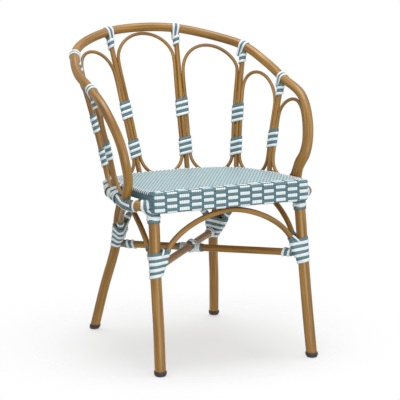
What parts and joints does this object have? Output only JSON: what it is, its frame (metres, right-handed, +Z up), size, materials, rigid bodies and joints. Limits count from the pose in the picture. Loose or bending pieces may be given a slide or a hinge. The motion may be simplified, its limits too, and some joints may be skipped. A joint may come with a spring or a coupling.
{
  "type": "rattan armchair",
  "caption": "Rigid bent-cane armchair: one hoop forms back rail and arms over looped canes, with a woven seat, splayed legs, brace arches and crossed stretchers.",
  "frame": {"origin": "on the floor, under the middle of the chair's overall width and depth", "axes": "+Z up from the floor, X across the chair (left and right halves match about X = 0), the sitter faces -Y"},
  "size_m": [0.577, 0.6196, 0.8044],
  "materials": {
    "cane": "clear varnished rattan pole, satin, fine lengthwise grain",
    "board": "plain plywood, hidden inside the woven cover",
    "seat_weave": "woven plastic strip in blue-grey and white, satin",
    "teal_strip": "flat woven plastic strip, dull teal, satin",
    "white_strip": "flat woven plastic strip, white, satin",
    "foot_cap": "moulded black-brown plastic, matt"
  },
  "bodies": {
    "root": {"seat_ring": "cane", "hoop_rail": "cane", "upright_back_left": "cane", "upright_back_right": "cane", "upright_outer_left": "cane", "upright_outer_right": "cane", "upright_side_left": "cane", "upright_side_right": "cane", "loop_centre": "cane", "loop_back_left": "cane", "loop_outer_left": "cane", "loop_arm_left": "cane", "loop_back_right": "cane", "loop_outer_right": "cane", "loop_arm_right": "cane", "seat_board": "board", "seat_weave": "seat_weave", "leg_front_left": "cane", "foot_cap_front_left": "foot_cap", "leg_front_right": "cane", "foot_cap_front_right": "foot_cap", "leg_back_left": "cane", "foot_cap_back_left": "foot_cap", "leg_back_right": "cane", "foot_cap_back_right": "foot_cap", "stretcher_upper": "cane", "stretcher_lower": "cane", "brace_arch_front": "cane", "brace_arch_back": "cane", "brace_arch_left": "cane", "brace_arch_right": "cane", "band_back_left_upper": "white_strip", "band_back_left_lower": "white_strip", "collar_back_left": "teal_strip", "band_outer_left_upper": "white_strip", "band_outer_left_lower": "white_strip", "collar_outer_left": "teal_strip", "band_side_left_upper": "white_strip", "collar_side_left": "teal_strip", "band_back_right_upper": "white_strip", "band_back_right_lower": "white_strip", "collar_back_right": "teal_strip", "band_outer_right_upper": "white_strip", "band_outer_right_lower": "white_strip", "collar_outer_right": "teal_strip", "band_side_right_upper": "white_strip", "collar_side_right": "teal_strip", "ring_wrap_left": "white_strip", "ring_wrap_right": "white_strip", "stretcher_wrap_front_left": "white_strip", "stretcher_wrap_back_right": "white_strip", "stretcher_wrap_back_left": "white_strip", "stretcher_wrap_front_right": "white_strip", "joint_knot_front_left": "teal_strip", "joint_knot_front_right": "teal_strip", "joint_knot_back_left": "teal_strip", "joint_knot_back_right": "teal_strip", "crossing_knot": "teal_strip", "corner_knot_left": "white_strip", "corner_knot_right": "white_strip"}
  },
  "joints": []
}
